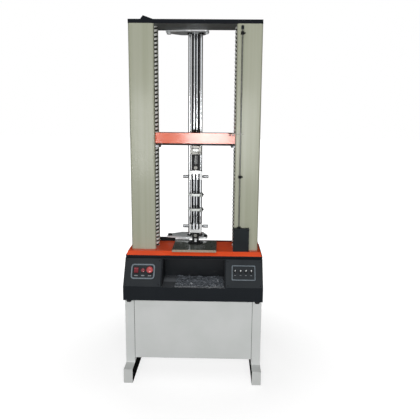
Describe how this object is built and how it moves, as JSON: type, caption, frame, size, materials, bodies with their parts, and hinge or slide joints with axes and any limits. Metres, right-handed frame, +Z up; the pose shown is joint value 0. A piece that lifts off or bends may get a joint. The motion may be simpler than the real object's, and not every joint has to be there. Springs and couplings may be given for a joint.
{
  "type": "universal testing machine",
  "caption": "Floor-standing screw-driven tensile tester with twin columns, a moving crosshead, screw grips, a sloped control console and a swing-away extensometer.",
  "frame": {"origin": "floor, below the middle of the machine's bounding box, on the load line", "axes": "+Z up along the load line, -Y towards the operator, +X to the operator's right"},
  "size_m": [0.692, 0.57, 1.794],
  "materials": {
    "stand_paint": "light grey powder coat",
    "column_paint": "grey-green stove enamel",
    "console_paint": "charcoal textured paint",
    "orange_paint": "orange-red gloss enamel",
    "black_paint": "black paint",
    "grey_paint": "dark grey paint",
    "bright_steel": "ground",
    "ground_chrome": "hard chrome, polished",
    "black_steel": "black oxide",
    "light_alloy": "satin anodised",
    "black_alloy": "black anodised",
    "rubber": "matte",
    "black_plastic": "fine grain",
    "red_plastic": "gloss",
    "lamp_lens": "translucent"
  },
  "bodies": {
    "frame": {"stand_feet": "stand_paint", "stand_legs": "stand_paint", "stand_panel": "stand_paint", "stand_top_frame": "stand_paint", "machine_feet": "rubber", "console_base": "grey_paint", "console_shell": "console_paint", "tray_liner": "console_paint", "control_panels": "console_paint", "control_bushes": "ground_chrome", "pilot_lamp": "lamp_lens", "table_cover": "orange_paint", "base_plate": "black_steel", "base_frame": "grey_paint", "guide_columns": "ground_chrome", "front_covers": "column_paint", "rear_covers": "column_paint", "top_beam": "grey_paint", "top_cover": "black_paint", "drive_motor": "black_paint", "drive_belt": "rubber", "screw_bearings": "bright_steel", "limit_switch_box": "black_plastic", "extensometer_brackets": "black_steel", "base_stud": "black_steel", "lower_joint": "black_steel", "lower_grip_body": "bright_steel"},
    "left_screw": {"left_screw": "bright_steel"},
    "right_screw": {"right_screw": "bright_steel"},
    "motor_pulley": {"motor_pulley": "light_alloy"},
    "crosshead": {"crosshead_beam": "grey_paint", "crosshead_cover": "orange_paint", "nuts_and_bushes": "bright_steel", "striker_arm": "bright_steel", "load_cell": "bright_steel", "upper_joint": "black_steel", "upper_grip_body": "bright_steel"},
    "upper_left_jaw": {"upper_left_jaw": "bright_steel"},
    "upper_left_grip_screw": {"upper_left_grip_screw": "bright_steel"},
    "upper_right_jaw": {"upper_right_jaw": "bright_steel"},
    "upper_right_grip_screw": {"upper_right_grip_screw": "bright_steel"},
    "lower_left_jaw": {"lower_left_jaw": "bright_steel"},
    "lower_left_grip_screw": {"lower_left_grip_screw": "bright_steel"},
    "lower_right_jaw": {"lower_right_jaw": "bright_steel"},
    "lower_right_grip_screw": {"lower_right_grip_screw": "bright_steel"},
    "limit_rod": {"limit_rod": "ground_chrome", "rod_collars": "black_steel"},
    "power_rocker": {"power_rocker": "red_plastic"},
    "stop_button": {"stop_button": "red_plastic"},
    "toggle_lever_1": {"toggle_lever_1": "ground_chrome"},
    "toggle_lever_2": {"toggle_lever_2": "ground_chrome"},
    "toggle_lever_3": {"toggle_lever_3": "ground_chrome"},
    "toggle_lever_4": {"toggle_lever_4": "ground_chrome"},
    "extensometer": {"swing_plates": "light_alloy", "extensometer_rods": "ground_chrome", "extensometer_channel": "black_alloy"},
    "upper_carriage": {"upper_carriage": "light_alloy"},
    "lower_carriage": {"lower_carriage": "light_alloy"},
    "upper_clip_arm": {"upper_clip_arm": "light_alloy"},
    "lower_clip_arm": {"lower_clip_arm": "light_alloy"}
  },
  "joints": [
    {"name": "left_screw_turn", "type": "hinge", "parent": "frame", "child": "left_screw", "pos_m": [-0.211, 0, 0.6], "axis": [0, 0, -1], "range_deg": [-3510, 8370]},
    {"name": "right_screw_turn", "type": "hinge", "parent": "frame", "child": "right_screw", "pos_m": [0.211, 0, 0.6], "axis": [0, 0, -1], "range_deg": [-3510, 8370]},
    {"name": "motor_turn", "type": "hinge", "parent": "frame", "child": "motor_pulley", "pos_m": [0, 0.058, 0.57], "axis": [0, 0, -1], "range_deg": [-7020, 16740]},
    {"name": "crosshead_slide", "type": "slide", "parent": "frame", "child": "crosshead", "axis": [0, 0, 1], "range_m": [-0.195, 0.465]},
    {"name": "upper_left_jaw_slide", "type": "slide", "parent": "crosshead", "child": "upper_left_jaw", "axis": [1, 0, 0], "range_m": [-0.008, 0.0037]},
    {"name": "upper_left_grip_screw_turn", "type": "hinge", "parent": "upper_left_jaw", "child": "upper_left_grip_screw", "pos_m": [-0.05, 0, 1.012], "axis": [1, 0, 0], "range_deg": [-1440, 666]},
    {"name": "upper_right_jaw_slide", "type": "slide", "parent": "crosshead", "child": "upper_right_jaw", "axis": [-1, 0, 0], "range_m": [-0.008, 0.0037]},
    {"name": "upper_right_grip_screw_turn", "type": "hinge", "parent": "upper_right_jaw", "child": "upper_right_grip_screw", "pos_m": [0.05, 0, 1.012], "axis": [-1, 0, 0], "range_deg": [-1440, 666]},
    {"name": "lower_left_jaw_slide", "type": "slide", "parent": "frame", "child": "lower_left_jaw", "axis": [1, 0, 0], "range_m": [-0.008, 0.0037]},
    {"name": "lower_left_grip_screw_turn", "type": "hinge", "parent": "lower_left_jaw", "child": "lower_left_grip_screw", "pos_m": [-0.05, 0, 0.748], "axis": [1, 0, 0], "range_deg": [-1440, 666]},
    {"name": "lower_right_jaw_slide", "type": "slide", "parent": "frame", "child": "lower_right_jaw", "axis": [-1, 0, 0], "range_m": [-0.008, 0.0037]},
    {"name": "lower_right_grip_screw_turn", "type": "hinge", "parent": "lower_right_jaw", "child": "lower_right_grip_screw", "pos_m": [0.05, 0, 0.748], "axis": [-1, 0, 0], "range_deg": [-1440, 666]},
    {"name": "limit_rod_slide", "type": "slide", "parent": "frame", "child": "limit_rod", "axis": [0, 0, 1], "range_m": [-0.004, 0.004], "stiffness_N_per_m": 2000, "springref_m": 0.0027},
    {"name": "power_rocker_tilt", "type": "hinge", "parent": "frame", "child": "power_rocker", "pos_m": [-0.286, -0.19211, 0.55875], "axis": [1, 0, 0], "range_deg": [-8, 8]},
    {"name": "stop_button_press", "type": "slide", "parent": "frame", "child": "stop_button", "axis": [0, 0.8371, -0.5471], "range_m": [0, 0.004], "stiffness_N_per_m": 800, "springref_m": -0.002},
    {"name": "toggle_lever_1_throw", "type": "hinge", "parent": "frame", "child": "toggle_lever_1", "pos_m": [0.208, -0.19797, 0.56258], "axis": [1, 0, 0], "range_deg": [-12, 12]},
    {"name": "toggle_lever_2_throw", "type": "hinge", "parent": "frame", "child": "toggle_lever_2", "pos_m": [0.2347, -0.19797, 0.56258], "axis": [1, 0, 0], "range_deg": [-12, 12]},
    {"name": "toggle_lever_3_throw", "type": "hinge", "parent": "frame", "child": "toggle_lever_3", "pos_m": [0.2614, -0.19797, 0.56258], "axis": [1, 0, 0], "range_deg": [-12, 12]},
    {"name": "toggle_lever_4_throw", "type": "hinge", "parent": "frame", "child": "toggle_lever_4", "pos_m": [0.2881, -0.19797, 0.56258], "axis": [1, 0, 0], "range_deg": [-12, 12]},
    {"name": "extensometer_swing", "type": "hinge", "parent": "frame", "child": "extensometer", "pos_m": [-0.147, 0.1065, 0.67], "axis": [0, 0, 1], "range_deg": [0, 90]},
    {"name": "upper_carriage_slide", "type": "slide", "parent": "extensometer", "child": "upper_carriage", "axis": [0, 0, 1], "range_m": [-0.03, 0.54]},
    {"name": "lower_carriage_slide", "type": "slide", "parent": "extensometer", "child": "lower_carriage", "axis": [0, 0, 1], "range_m": [-0.115, 0.03]},
    {"name": "upper_clip_arm_swing", "type": "hinge", "parent": "upper_carriage", "child": "upper_clip_arm", "pos_m": [0.025, 0.08, 0.9045], "axis": [0, 0, 1], "range_deg": [0, 70]},
    {"name": "lower_clip_arm_swing", "type": "hinge", "parent": "lower_carriage", "child": "lower_clip_arm", "pos_m": [0.025, 0.08, 0.8225], "axis": [0, 0, 1], "range_deg": [0, 70]}
  ],
  "couplings": [
    {"joint": "right_screw_turn", "follows": "left_screw_turn", "ratio": 1},
    {"joint": "motor_turn", "follows": "left_screw_turn", "ratio": 2},
    {"joint": "crosshead_slide", "follows": "left_screw_turn", "m_per_rad": 0.0031831},
    {"joint": "upper_left_grip_screw_turn", "follows": "upper_left_jaw_slide", "rad_per_m": 3141.6},
    {"joint": "upper_right_grip_screw_turn", "follows": "upper_right_jaw_slide", "rad_per_m": 3141.6},
    {"joint": "lower_left_grip_screw_turn", "follows": "lower_left_jaw_slide", "rad_per_m": 3141.6},
    {"joint": "lower_right_grip_screw_turn", "follows": "lower_right_jaw_slide", "rad_per_m": 3141.6}
  ]
}
